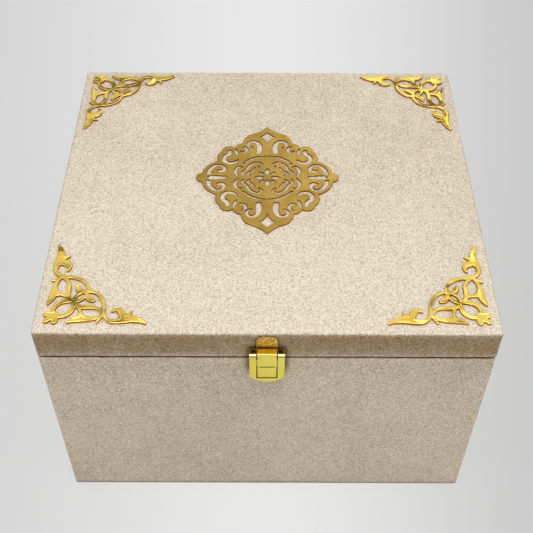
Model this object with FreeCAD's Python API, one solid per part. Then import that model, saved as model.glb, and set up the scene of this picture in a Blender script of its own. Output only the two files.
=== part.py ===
import FreeCAD, Part
import os

# Velvet covered book box with cast filigree corners, a pierced medallion and a sprung snap latch.
# Millimetres. The origin is the middle of the underside, +X to the right, +Y to the back, +Z up.

V = FreeCAD.Vector

# Driving sizes of the closed box, measured over the velvet
box_width = 300.0
box_depth = 266.0
box_height = 200.0
lid_height = 26.4
seam_gap = 1.2

# Boards and fabrics
velvet = 1.2
edge_softening = 1.4
board = 6.0
floor_board = 5.0
top_board = 6.0
rebate = 3.0
underside_sheet = 1.2
hem_width = 14.0
hem_clearance = 0.2
turn_in = 9.0
lining = 1.2
floor_pad = 6.0
lid_pad = 4.0
pad_clearance = 0.4
pad_edge_softening = 2.0

# Butt hinges on the back
hinge_spacing = 170.0
hinge_length = 38.0
leaf_thickness = 1.0
leaf_height = 15.0
hinge_pin_radius = 1.15
pin_running_clearance = 0.05
knuckle_gap = 0.25
leaf_setback = 0.5

# Snap latch on the front
latch_width = 23.2
latch_depth = 6.4
latch_rise = 12.2
latch_drop = 13.4
latch_bow = 5.4
latch_sheet = 0.8
latch_bend_radius = 1.4
latch_edge_softening = 0.7
window_width = 13.9
window_drop = 14.2
tongue_side_gap = 0.8
tongue_end_gap = 1.2
pivot_drop = 1.2
latch_pin_radius = 0.8
latch_pin_clearance = 0.05
latch_pin_setback = 0.1
ear_radius = 2.0
pin_slot_width = 10.0
pin_slot_height = 0.9
nose_reach = 1.6
nose_drop = 1.1
catch_clearance = 0.3
lip_width = 10.0
lip_reach = 2.0
strike_width = 14.0
strike_top_gap = 2.4
strike_bottom_gap = 1.6
strike_corner_radius = 4.5
back_plate_gap = 0.6
roof_hole_start = 2.4
roof_hole_length = 2.2
roof_hole_width = 3.3
groove_depth = 0.5
groove_height = 0.8
groove_drop = 1.6
spring_width = 6.0
spring_sheet = 0.4
spring_foot = 3.5
spring_tip_gap = 0.35

# Ornaments on the lid
ornament_thickness = 1.8
medallion_thickness = 1.8
medallion_set_back = 6.8
corner_unit = 1.0
medallion_unit = 1.0
straight_enough = 0.9
peg_size = 1.6
peg_length = 5.0
quarters = [(1, 1), (-1, 1), (1, -1), (-1, -1)]

# Places worked out from the driving sizes
half_width = box_width / 2
half_depth = box_depth / 2
seam_z = box_height - lid_height
base_rim_z = seam_z - seam_gap / 2
lid_rim_z = seam_z + seam_gap / 2
board_half_width = half_width - velvet
board_half_depth = half_depth - velvet
inner_half_width = board_half_width - board
inner_half_depth = board_half_depth - board
cavity_half_width = inner_half_width - lining
cavity_half_depth = inner_half_depth - lining
floor_top_z = underside_sheet + floor_board
lid_board_top_z = box_height - velvet
lid_ceiling_z = lid_board_top_z - top_board


def save(shape, name):
    """Write one piece as its own file."""
    shape.exportStep("parts/" + name + ".step")


def block(x0, x1, y0, y1, z0, z1):
    """A box between two limits along each axis."""
    return Part.makeBox(x1 - x0, y1 - y0, z1 - z0, V(x0, y0, z0))


def centred_block(half_x, half_y, z0, z1):
    """A box centred on the vertical axis."""
    return block(-half_x, half_x, -half_y, half_y, z0, z1)


def rounded(shape, radius, wanted):
    """Fillet the edges whose middle point passes the test."""
    edges = []
    for edge in shape.Edges:
        middle = edge.valueAt((edge.FirstParameter + edge.LastParameter) / 2)
        if wanted(middle):
            edges.append(edge)
    return shape.makeFillet(radius, edges)


def softened(shape, size, wanted):
    """Chamfer the edges whose middle point passes the test."""
    edges = []
    for edge in shape.Edges:
        middle = edge.valueAt((edge.FirstParameter + edge.LastParameter) / 2)
        if wanted(middle):
            edges.append(edge)
    return shape.makeChamfer(size, edges)


def mirrored_x(shape):
    return shape.mirror(V(0, 0, 0), V(1, 0, 0))


def mirrored_y(shape):
    return shape.mirror(V(0, 0, 0), V(0, 1, 0))


def rod_x(radius, length, x, y, z):
    """A cylinder along X that starts at x."""
    return Part.makeCylinder(radius, length, V(x, y, z), V(1, 0, 0))


# Boards of one half: walls rebated at the corners and a panel let into their edge


def board_frame(panel, wall_low_z, wall_high_z):
    """The four walls, with rebates for each other and for the panel."""
    front = block(-board_half_width, board_half_width, -board_half_depth, -inner_half_depth,
                  wall_low_z, wall_high_z)
    side = block(inner_half_width, board_half_width, -(inner_half_depth + rebate),
                 inner_half_depth + rebate, wall_low_z, wall_high_z)
    side = side.cut(panel)
    front = front.cut([panel, side, mirrored_x(side)])
    return {"front_panel": front, "back_panel": mirrored_y(front),
            "right_panel": side, "left_panel": mirrored_x(side)}


def rebated_panel(low_z, high_z):
    return centred_block(inner_half_width + rebate, inner_half_depth + rebate, low_z, high_z)


# Velvet skins


def upright_edge(point):
    """Whether a point lies on one of the four upright edges of the box."""
    return abs(point.x) > half_width - 0.1 and abs(point.y) > half_depth - 0.1


def base_velvet():
    """Outer skin of the base, folded over the rim and turned under the floor."""
    skin = centred_block(half_width, half_depth, hem_clearance, base_rim_z)
    skin = softened(skin, edge_softening, upright_edge)
    boards = centred_block(board_half_width, board_half_depth, underside_sheet, base_rim_z - velvet)
    cavity = centred_block(cavity_half_width, cavity_half_depth, underside_sheet, box_height)
    hem_hole = centred_block(half_width - hem_width, half_depth - hem_width, -1, underside_sheet)
    below_turn_in = centred_block(inner_half_width, inner_half_depth, underside_sheet,
                                  base_rim_z - velvet - turn_in)
    return skin.cut([boards, cavity, hem_hole, below_turn_in])


def lid_velvet():
    """Outer skin of the lid, over its top, sides and rim."""
    skin = centred_block(half_width, half_depth, lid_rim_z, box_height)
    skin = softened(skin, edge_softening, lambda p: upright_edge(p) or p.z > box_height - 0.1)
    boards = centred_block(board_half_width, board_half_depth, lid_rim_z + velvet, lid_board_top_z)
    cavity = centred_block(cavity_half_width, cavity_half_depth, 0, lid_board_top_z)
    above_turn_in = centred_block(inner_half_width, inner_half_depth, lid_rim_z + velvet + turn_in,
                                  lid_board_top_z)
    return skin.cut([boards, cavity, above_turn_in])


def wall_lining(low_z, high_z):
    """A lining round the four inner faces."""
    outer = centred_block(inner_half_width, inner_half_depth, low_z, high_z)
    return outer.cut(centred_block(cavity_half_width, cavity_half_depth, low_z - 1, high_z + 1))


def soft_pad(low_z, high_z, crown_up):
    """A padded panel with a softened edge on its free side."""
    pad = centred_block(cavity_half_width - pad_clearance, cavity_half_depth - pad_clearance,
                        low_z, high_z)
    free_z = high_z if crown_up else low_z
    return softened(pad, pad_edge_softening, lambda p: abs(p.z - free_z) < 0.1)


# Flat ornaments: bands and leaves along smooth lines


def bow(start, middle, end):
    """An arc through three points, or a line where they are nearly straight."""
    chord = end - start
    rise = chord.cross(middle - start).Length / chord.Length
    if rise < straight_enough:
        return Part.makeLine(start, end)
    return Part.Arc(start, middle, end).toShape()


def band(stations):
    """A face along a smooth line of stations (x, y, width), made of arcs, square at both ends."""
    spine = Part.BSplineCurve()
    spine.interpolate([V(x, y, 0) for x, y, width in stations])
    knots = [spine.parameter(V(x, y, 0)) for x, y, width in stations]

    def side_point(parameter, half):
        tangent = spine.tangent(parameter)[0]
        return spine.value(parameter) + V(-tangent.y, tangent.x, 0) * half

    sides = []
    for side in (0.5, -0.5):
        edges = []
        for i in range(len(stations) - 1):
            width, next_width = stations[i][2], stations[i + 1][2]
            start = side_point(knots[i], side * width)
            middle = side_point((knots[i] + knots[i + 1]) / 2, side * (width + next_width) / 2)
            end = side_point(knots[i + 1], side * next_width)
            edges.append(bow(start, middle, end))
        sides.append(edges)
        if side > 0:
            corners = [edges[0].Vertexes[0].Point, edges[-1].Vertexes[-1].Point]
        else:
            corners += [edges[0].Vertexes[0].Point, edges[-1].Vertexes[-1].Point]
    ends = [Part.makeLine(corners[0], corners[2]), Part.makeLine(corners[1], corners[3])]
    outline = Part.__sortEdges__(sides[0] + sides[1] + ends)
    return upward(Part.Face(Part.Wire(outline)))


def upward(face):
    """The face with its normal along +Z."""
    if face.normalAt(0, 0).z < 0:
        face.reverse()
    return face


def lens(start, end, width):
    """A face between two bows that meet in points."""
    start = V(*start, 0)
    end = V(*end, 0)
    along = end - start
    across = V(-along.y, along.x, 0).normalize() * (width / 2)
    middle = (start + end) * 0.5
    bows = [bow(start, middle + across, end), bow(end, middle - across, start)]
    return upward(Part.Face(Part.Wire(bows)))


def kite(start, end, width):
    """A face with four straight edges, widest halfway between its two points."""
    start = V(*start, 0)
    end = V(*end, 0)
    along = end - start
    across = V(-along.y, along.x, 0).normalize() * (width / 2)
    middle = (start + end) * 0.5
    return upward(Part.Face(Part.makePolygon([start, middle + across, end, middle - across, start])))


def disc(x, y, radius):
    ring = Part.Circle(V(x, y, 0), V(0, 0, 1), radius).toShape()
    return upward(Part.Face(Part.Wire(ring)))


def swapped(stations):
    """The same band mirrored about the diagonal of the corner."""
    return [(y, x, width) for x, y, width in stations]


def corner_face():
    """Open scrollwork for one corner, with its corner at the origin, mirrored about the diagonal."""
    outer_stem = [(32.6, 32.4, 2.0), (42.6, 27.0, 2.2), (45.0, 16.6, 2.0), (49.8, 8.8, 2.6),
                  (58.5, 9.6, 4.4), (65.6, 9.7, 3.8), (72.6, 6.9, 0.9)]
    curl = [(57.5, 9.5, 4.4), (56.2, 14.8, 4.0), (52.8, 17.1, 2.6), (49.9, 16.6, 0.6)]
    tooth = [(59.8, 10.4, 2.8), (62.4, 16.2, 0.4)]
    upper_band = [(24.6, 23.6, 2.0), (31.5, 20.2, 2.6), (38.5, 19.9, 2.6), (44.2, 15.0, 2.2)]
    tie = [(30.6, 10.6, 3.2), (29.8, 19.4, 1.8)]
    long_leaf = [(44.6, 13.2, 2.0), (36.5, 10.6, 2.6), (29.5, 10.4, 4.4), (22.0, 7.5, 0.6)]
    spur = [(43.2, 12.0, 2.8), (41.4, 7.6, 0.6)]
    lower_stem = [(13.8, 12.2, 2.6), (22.2, 15.8, 3.0), (25.4, 25.4, 2.0)]
    thin_stem = [(24.6, 24.2, 1.6), (30.6, 25.8, 1.7), (33.0, 33.0, 2.0)]
    bud = [(32.2, 29.4, 2.2), (34.5, 26.4, 3.4), (37.8, 25.0, 0.5)]
    side_lobe = [(13.6, 13.0, 4.4), (13.9, 9.6, 3.8), (13.0, 7.0, 1.6)]
    point_lobe = [(14.2, 14.2, 4.8), (8.0, 8.0, 1.0)]
    faces = [band(point_lobe), disc(24.9, 24.9, 1.9), disc(32.8, 32.8, 1.7), disc(13.6, 13.6, 2.6)]
    for stations in [outer_stem, curl, tooth, upper_band, tie, long_leaf, spur, lower_stem,
                     thin_stem, bud, side_lobe]:
        faces.append(band(stations))
        faces.append(band(swapped(stations)))
    merged = faces[0].fuse(faces[1:]).removeSplitter()
    merged.scale(corner_unit)
    return merged


corner_pegs = [(58.5 * corner_unit, 9.6 * corner_unit), (9.6 * corner_unit, 58.5 * corner_unit)]


def medallion_face():
    """The pierced medallion about its own centre, alike in all four quarters."""
    bows = [((0, 56.0), (5.2, 50.8), (12.0, 47.2)),
            ((12.0, 47.2), (17.0, 43.0), (18.6, 37.0)),
            ((18.6, 37.0), (22.6, 35.4), (25.0, 32.2)),
            ((25.0, 32.2), (30.6, 33.2), (34.4, 28.0)),
            ((34.4, 28.0), (37.6, 22.6), (36.8, 17.6)),
            ((36.8, 17.6), (43.8, 13.0), (48.4, 4.2)),
            ((48.4, 4.2), (51.4, 3.0), (52.5, 0))]
    edges = []
    for sx, sy in quarters:
        for points in bows:
            edges.append(bow(*[V(sx * x, sy * y, 0) for x, y in points]))
    plate = Part.Face(Part.Wire(Part.__sortEdges__(edges)))
    comma = [(6.4, 27.6, 4.0), (6.8, 37.2, 3.0), (13.6, 37.6, 1.6)]
    small_scroll = [(17.8, 33.2, 0.8), (15.9, 29.4, 2.0), (19.4, 27.0, 0.8)]
    lobe_scroll = [(28.0, 29.8, 2.0), (32.7, 21.8, 2.4), (23.0, 16.8, 1.0)]
    side_scroll = [(43.0, 3.4, 1.4), (38.2, 11.0, 3.0), (31.6, 4.4, 1.0)]
    slits = [((24.2, 30.6), (22.4, 22.0), 2.2), ((21.4, 1.2), (20.6, 13.6), 3.4),
             ((13.4, 2.0), (12.8, 12.6), 3.4), ((2.4, 2.4), (7.4, 7.4), 2.0)]
    openings = []
    for sx, sy in quarters:
        for stations in [comma, small_scroll, lobe_scroll, side_scroll]:
            openings.append(band([(sx * x, sy * y, width) for x, y, width in stations]))
        for start, end, width in slits:
            openings.append(kite((sx * start[0], sy * start[1]), (sx * end[0], sy * end[1]), width))
        openings.append(lens((sx * 1.4, sy * 23.0), (sx * 17.6, sy * 16.4), 2.4))
    for sign in (1, -1):
        star = [bow(V(sx * 5.4, sign * 44.4, 0), V(sx * 1.8, sign * 41.2, 0), V(0, sign * 36.6, 0))
                for sx in (1, -1)]
        star += [Part.makeLine(V(0, sign * 49.2, 0), V(sx * 5.4, sign * 44.4, 0)) for sx in (1, -1)]
        openings.append(Part.Face(Part.Wire(Part.__sortEdges__(star))))
        openings.append(kite((0, sign * 2.0), (0, sign * 9.4), 3.6))
        openings.append(kite((sign * 2.0, 0), (sign * 9.4, 0), 3.6))
    pierced = plate.cut(openings)
    pierced.scale(medallion_unit)
    return pierced


medallion_pegs = [(47.0 * medallion_unit, 0), (-47.0 * medallion_unit, 0)]


def pegs(places, top_z):
    """Square pegs under an ornament, cast in one with it."""
    half = peg_size / 2
    return [block(x - half, x + half, y - half, y + half, top_z - peg_length, top_z) for x, y in places]


def ornament(face, peg_places, thickness):
    """A flat pierced casting whose pegs go down through the velvet into the board."""
    plate = face.extrude(V(0, 0, thickness))
    plate.translate(V(0, 0, box_height))
    return plate.fuse(pegs(peg_places, box_height)).removeSplitter()


def corner_ornament(sx, sy):
    """A corner casting, turned to its own corner of the lid."""
    piece = ornament(corner_face(), corner_pegs, ornament_thickness)
    piece.translate(V(-half_width, -half_depth, 0))
    if sx > 0:
        piece = mirrored_x(piece)
    if sy > 0:
        piece = mirrored_y(piece)
    return piece


# Hinges: surface mounted leaves, three knuckles and a fixed pin

barrel_radius = hinge_pin_radius + pin_running_clearance + leaf_thickness
hinge_y = half_depth + barrel_radius
hinge_z = seam_z
knuckle_length = (hinge_length - 2 * knuckle_gap) / 3
leaf_top_drop = barrel_radius + leaf_setback


def hinge_leaf(centre_x, knuckles, bore_radius):
    """A leaf: a plate against the back, rolled into its knuckles at its upper edge."""
    start_x = centre_x - hinge_length / 2
    leaf = block(start_x, start_x + hinge_length, half_depth, half_depth + leaf_thickness,
                 hinge_z - leaf_height, hinge_z - leaf_top_drop)
    barrels = []
    bores = []
    for i in knuckles:
        x = start_x + i * (knuckle_length + knuckle_gap)
        barrels.append(rod_x(barrel_radius, knuckle_length, x, hinge_y, hinge_z))
        barrels.append(block(x, x + knuckle_length, half_depth, half_depth + leaf_thickness,
                             hinge_z - leaf_top_drop, hinge_z))
        bores.append(rod_x(bore_radius, knuckle_length, x, hinge_y, hinge_z))
    leaf = leaf.fuse(barrels).removeSplitter()
    return leaf.cut(bores)


def upside_down(shape):
    """The same piece mirrored about the level of the hinge pin."""
    return shape.mirror(V(0, 0, hinge_z), V(0, 0, 1))


def hinge_pin(centre_x):
    return rod_x(hinge_pin_radius, hinge_length, centre_x - hinge_length / 2, hinge_y, hinge_z)


# Snap latch: a cover on the base, a rocking tongue in its window and a strike on the lid

latch_top_z = seam_z + latch_rise
latch_side_z = seam_z - latch_drop
latch_half = latch_width / 2
window_half = window_width / 2
window_end_z = seam_z - window_drop
tongue_half = window_half - tongue_side_gap
tongue_end_z = window_end_z + tongue_end_gap
pivot_z = seam_z - pivot_drop
pivot_out = latch_depth - latch_sheet - latch_pin_setback - latch_pin_radius
pivot_y = -(half_depth + pivot_out)
nose_z = latch_top_z - latch_sheet - nose_drop
lip_top_z = nose_z - catch_clearance


def front_face(points_out, x0, x1):
    """A solid with the given outline of (distance out from the front, height), between two x limits."""
    corners = [V(x0, -(half_depth + out), z) for out, z in points_out]
    wire = Part.makePolygon(corners + [corners[0]])
    return Part.Face(wire).extrude(V(x1 - x0, 0, 0))


def front_plate(half, low_z, bow_height, high_z, out0, out1):
    """A plate facing the front with upright sides and a bowed lower end."""
    left = V(-half, -(half_depth + out0), low_z)
    right = V(half, -(half_depth + out0), low_z)
    bottom = V(0, -(half_depth + out0), low_z - bow_height)
    top_right = V(half, -(half_depth + out0), high_z)
    top_left = V(-half, -(half_depth + out0), high_z)
    edges = [Part.Arc(left, bottom, right).toShape(), Part.makeLine(right, top_right),
             Part.makeLine(top_right, top_left), Part.makeLine(top_left, left)]
    return Part.Face(Part.Wire(edges)).extrude(V(0, -(out1 - out0), 0))


def latch_case():
    """The pressed cover: open at the back, with a window in front and two roofs over its sides."""
    front_y = -(half_depth + latch_depth)
    case = front_plate(latch_half, latch_side_z, latch_bow, latch_top_z, latch_sheet, latch_depth)
    case = softened(case, latch_edge_softening, lambda p: abs(p.y - front_y) < 0.01)
    hollow = front_plate(latch_half - latch_sheet, latch_side_z, latch_bow - latch_sheet / 2,
                         latch_top_z - latch_sheet, latch_sheet, latch_depth - latch_sheet)
    window = block(-window_half, window_half, front_y - 1, -half_depth, window_end_z, latch_top_z + 1)
    cuts = [hollow, window, rod_x(latch_pin_radius, latch_width, -latch_half, pivot_y, pivot_z)]
    for sx in (1, -1):
        hole = block(window_half - 1, window_half + roof_hole_width,
                     -(half_depth + roof_hole_start + roof_hole_length), -(half_depth + roof_hole_start),
                     latch_top_z - latch_bend_radius, latch_top_z + 1)
        groove = block(window_half - 1, latch_half + 1, front_y - 1, front_y + groove_depth,
                       latch_top_z - groove_drop - groove_height, latch_top_z - groove_drop)
        cuts += [hole, groove] if sx > 0 else [mirrored_x(hole), mirrored_x(groove)]
    return case.cut(cuts)


def latch_back_plate():
    return front_plate(latch_half, latch_side_z, latch_bow, base_rim_z - back_plate_gap, 0, latch_sheet)


def latch_tongue():
    """The rocking tongue: a flat front, ears on the pin and a hooked nose over the strike."""
    outline = [(latch_depth, tongue_end_z), (latch_depth, latch_top_z), (nose_reach, latch_top_z),
               (nose_reach, nose_z), (nose_reach + latch_sheet, nose_z),
               (nose_reach + latch_sheet, latch_top_z - latch_sheet),
               (latch_depth - latch_sheet, latch_top_z - latch_sheet),
               (latch_depth - latch_sheet, tongue_end_z)]
    plate = front_face(outline, -tongue_half, tongue_half)
    front_y = -(half_depth + latch_depth)
    plate = rounded(plate, latch_bend_radius,
                    lambda p: abs(p.y - front_y) < 0.01 and abs(p.z - latch_top_z) < 0.01)
    ears = []
    for x in (-tongue_half, tongue_half - latch_sheet):
        ears.append(rod_x(ear_radius, latch_sheet, x, pivot_y, pivot_z))
        ears.append(block(x, x + latch_sheet, front_y + latch_sheet, pivot_y,
                          pivot_z - ear_radius, pivot_z + ear_radius))
    slot = block(-pin_slot_width / 2, pin_slot_width / 2, front_y - 1, front_y + latch_sheet,
                 pivot_z - pin_slot_height / 2, pivot_z + pin_slot_height / 2)
    front_space = block(-tongue_half, tongue_half, front_y - ear_radius, front_y, pivot_z - ear_radius,
                        pivot_z + ear_radius)
    tongue = plate.fuse([ear.cut(front_space) for ear in ears]).removeSplitter()
    bore = rod_x(latch_pin_radius + latch_pin_clearance, latch_width, -latch_half, pivot_y, pivot_z)
    return tongue.cut([slot, bore])


def latch_spring():
    """A leaf spring whose tip bears on the tongue just below its pin."""
    tip_out = latch_depth - latch_sheet - spring_tip_gap
    tip_z = pivot_z - ear_radius
    foot_z = latch_side_z - latch_bow / 2
    knee_z = foot_z + spring_foot
    outline = [(latch_sheet, foot_z), (latch_sheet + spring_sheet, foot_z),
               (latch_sheet + spring_sheet, knee_z), (tip_out, tip_z - spring_sheet),
               (tip_out, tip_z), (latch_sheet, knee_z + spring_sheet)]
    return front_face(outline, -spring_width / 2, spring_width / 2)


def latch_strike():
    """The plate on the lid, with a rounded upper end and a lip for the nose."""
    low_z = lid_rim_z + strike_bottom_gap
    high_z = box_height - strike_top_gap
    half = strike_width / 2
    plate = block(-half, half, -(half_depth + latch_sheet), -half_depth, low_z, high_z)
    plate = rounded(plate, strike_corner_radius,
                    lambda p: abs(p.z - high_z) < 0.01 and abs(abs(p.x) - half) < 0.01)
    lip = block(-lip_width / 2, lip_width / 2, -(half_depth + latch_sheet + lip_reach),
                -(half_depth + latch_sheet), lip_top_z - latch_sheet, lip_top_z)
    return plate.fuse(lip).removeSplitter()


def build():
    """All the pieces by name."""
    pieces = {}
    hinge_sides = {"left": -hinge_spacing / 2, "right": hinge_spacing / 2}
    lid_pegs = pegs(medallion_places(), box_height)
    for sx, sy in quarters:
        places = [(sx * (half_width - x), sy * (half_depth - y)) for x, y in corner_pegs]
        lid_pegs += pegs(places, box_height)

    floor = rebated_panel(underside_sheet, floor_top_z)
    pieces["base_floor_panel"] = floor
    for name, panel in board_frame(floor, underside_sheet, base_rim_z - velvet).items():
        pieces["base_" + name] = panel
    pieces["base_velvet_cover"] = base_velvet()
    pieces["base_underside_sheet"] = centred_block(half_width - hem_width, half_depth - hem_width,
                                                   0, underside_sheet)
    pieces["base_wall_lining"] = wall_lining(floor_top_z, base_rim_z - velvet - turn_in)
    pieces["base_floor_pad"] = soft_pad(floor_top_z, floor_top_z + floor_pad, True)

    top = rebated_panel(lid_ceiling_z, lid_board_top_z)
    pieces["lid_top_panel"] = top.cut(lid_pegs)
    for name, panel in board_frame(top, lid_rim_z + velvet, lid_board_top_z).items():
        pieces["lid_" + name] = panel
    pieces["lid_velvet_cover"] = lid_velvet().cut(lid_pegs)
    pieces["lid_wall_lining"] = wall_lining(lid_rim_z + velvet + turn_in, lid_ceiling_z)
    pieces["lid_inner_pad"] = soft_pad(lid_ceiling_z - lid_pad, lid_ceiling_z, False)

    corner_names = {(-1, -1): "front_left", (1, -1): "front_right",
                    (-1, 1): "back_left", (1, 1): "back_right"}
    for (sx, sy), name in corner_names.items():
        pieces["corner_ornament_" + name] = corner_ornament(sx, sy)
    medallion = ornament(medallion_face(), medallion_pegs, medallion_thickness)
    medallion.translate(V(0, medallion_set_back, 0))
    pieces["lid_medallion"] = medallion

    for side, x in hinge_sides.items():
        pieces["hinge_" + side + "_lower_leaf"] = hinge_leaf(x, (0, 2), hinge_pin_radius)
        upper = hinge_leaf(x, (1,), hinge_pin_radius + pin_running_clearance)
        pieces["hinge_" + side + "_upper_leaf"] = upside_down(upper)
        pieces["hinge_" + side + "_pin"] = hinge_pin(x)

    pieces["latch_back_plate"] = latch_back_plate()
    pieces["latch_case"] = latch_case()
    pieces["latch_spring"] = latch_spring()
    pieces["latch_pin"] = rod_x(latch_pin_radius, latch_width, -latch_half, pivot_y, pivot_z)
    pieces["latch_tongue"] = latch_tongue()
    pieces["latch_strike"] = latch_strike()
    return pieces


def medallion_places():
    return [(x, y + medallion_set_back) for x, y in medallion_pegs]


def main():
    os.makedirs("parts", exist_ok=True)
    for name, shape in build().items():
        save(shape, name)


main()
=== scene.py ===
import math

import bmesh
import bpy
import numpy as np
from mathutils import Matrix, Vector, noise

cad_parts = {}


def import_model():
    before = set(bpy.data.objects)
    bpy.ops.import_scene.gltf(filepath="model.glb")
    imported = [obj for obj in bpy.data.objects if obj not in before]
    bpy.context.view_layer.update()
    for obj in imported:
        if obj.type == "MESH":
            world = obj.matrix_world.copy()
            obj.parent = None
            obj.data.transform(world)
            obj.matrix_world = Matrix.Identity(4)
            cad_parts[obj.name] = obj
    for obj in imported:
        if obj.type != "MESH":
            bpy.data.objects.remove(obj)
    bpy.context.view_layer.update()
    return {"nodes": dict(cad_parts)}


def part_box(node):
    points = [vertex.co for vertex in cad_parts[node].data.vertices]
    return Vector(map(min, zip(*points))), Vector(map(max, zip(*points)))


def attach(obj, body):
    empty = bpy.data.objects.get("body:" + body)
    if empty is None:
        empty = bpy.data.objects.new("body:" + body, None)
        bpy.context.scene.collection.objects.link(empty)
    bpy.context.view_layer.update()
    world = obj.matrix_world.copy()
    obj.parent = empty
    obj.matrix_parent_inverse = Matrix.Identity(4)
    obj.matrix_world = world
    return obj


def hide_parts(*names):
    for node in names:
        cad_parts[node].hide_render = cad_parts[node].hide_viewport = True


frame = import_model()

MM = 0.001

# Sizes in millimetres: half the box, how wide and deep the velvet turns over its rims, and its hem below
HALF_X = 150.0
HALF_Y = 133.0
RIM_WIDTH = 8.4
RIM_DEPTH = 10.2
HEM = 14.0

# Heights of the velvet covers
BASE_BOTTOM = 0.2
BASE_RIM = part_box("base_velvet_cover")[1].z / MM
LID_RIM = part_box("lid_velvet_cover")[0].z / MM
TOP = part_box("lid_velvet_cover")[1].z / MM

# Rounding of the velvet over the boards
EDGE_TOP = 2.2
EDGE_UPRIGHT = 2.4
EDGE_RIM = 1.5
INNER_CORNER = 0.6

# The turn of the velvet over a rim and in: how far short of its full width, and how deep
RIM_TURN = ((1.0, 0.0), (0.3, 0.3), (0.0, 1.0), (0.0, 5.0), (0.0, RIM_DEPTH - 0.3), (1.1, RIM_DEPTH))

# Castings on the lid: height of their faces over the velvet, how far their foot sinks into the pile,
# the grid that their outlines are found on, and how far behind the middle the medallion lies
CORNER_HEIGHT = 1.8
MEDALLION_HEIGHT = 1.4
FOOT = 0.3
GRID = 0.3
MEDALLION_Y = 6.8

# How far inside the outer walls the linings start, and between which heights each wall is lined
LINING_INSET = 7.25
BASE_LINED = (6.3, 164.0)
LID_LINED = (183.2, 192.7)


# Materials

class Nodes:
    """A material's node tree, built from short calls."""

    def __init__(self, name):
        self.material = bpy.data.materials.new(name)
        self.material.use_nodes = True
        self.tree = self.material.node_tree
        self.shader = self.tree.nodes["Principled BSDF"]
        self.output = self.tree.nodes["Material Output"]

    def node(self, kind, **settings):
        made = self.tree.nodes.new(kind)
        for key, value in settings.items():
            setattr(made, key, value)
        return made

    def link(self, source, target):
        self.tree.links.new(source, target)

    def value(self, socket, value):
        """A number, colour or link on a socket."""
        if isinstance(value, bpy.types.NodeSocket):
            self.link(value, socket)
        else:
            socket.default_value = value

    def position(self):
        return self.node("ShaderNodeTexCoord").outputs["Object"]

    def stretched(self, vector, scale):
        made = self.node("ShaderNodeMapping")
        self.link(vector, made.inputs["Vector"])
        made.inputs["Scale"].default_value = scale
        return made.outputs["Vector"]

    def noise(self, vector, scale, detail=2.0, roughness=0.5):
        made = self.node("ShaderNodeTexNoise")
        self.link(vector, made.inputs["Vector"])
        made.inputs["Scale"].default_value = scale
        made.inputs["Detail"].default_value = detail
        made.inputs["Roughness"].default_value = roughness
        return made.outputs["Fac"]

    def cells(self, vector, scale):
        """A random value for each of many small cells."""
        made = self.node("ShaderNodeTexVoronoi")
        self.link(vector, made.inputs["Vector"])
        made.inputs["Scale"].default_value = scale
        split = self.node("ShaderNodeSeparateColor")
        self.link(made.outputs["Color"], split.inputs["Color"])
        return split.outputs[0]

    def ramp(self, factor, low, high, low_value=0.0, high_value=1.0):
        made = self.node("ShaderNodeMapRange")
        self.link(factor, made.inputs["Value"])
        made.inputs["From Min"].default_value = low
        made.inputs["From Max"].default_value = high
        made.inputs["To Min"].default_value = low_value
        made.inputs["To Max"].default_value = high_value
        return made.outputs["Result"]

    def math(self, operation, first, second=0.0):
        made = self.node("ShaderNodeMath", operation=operation)
        self.value(made.inputs[0], first)
        self.value(made.inputs[1], second)
        return made.outputs[0]

    def mix(self, factor, first, second, blend="MIX"):
        made = self.node("ShaderNodeMix", data_type="RGBA", blend_type=blend)
        self.value(made.inputs["Factor"], factor)
        self.value(made.inputs[6], first)
        self.value(made.inputs[7], second)
        return made.outputs[2]

    def bump(self, height, strength, distance, normal=None):
        made = self.node("ShaderNodeBump")
        self.link(height, made.inputs["Height"])
        made.inputs["Strength"].default_value = strength
        made.inputs["Distance"].default_value = distance
        if normal is not None:
            self.link(normal, made.inputs["Normal"])
        return made.outputs["Normal"]

    def finish(self, **inputs):
        """The material, with values or links on its shader."""
        for key, value in inputs.items():
            self.value(self.shader.inputs[key.replace("_", " ")], value)
        return self.material


def rgb(red, green, blue):
    """A colour written as on screen, 0 to 255, in the renderer's linear numbers."""
    def linear(value):
        value /= 255
        return value / 12.92 if value <= 0.04045 else ((value + 0.055) / 1.055) ** 2.4
    return (linear(red), linear(green), linear(blue), 1.0)


VELVET_SHADED = rgb(161, 132, 95)
VELVET_LIT = rgb(240, 226, 204)


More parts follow.
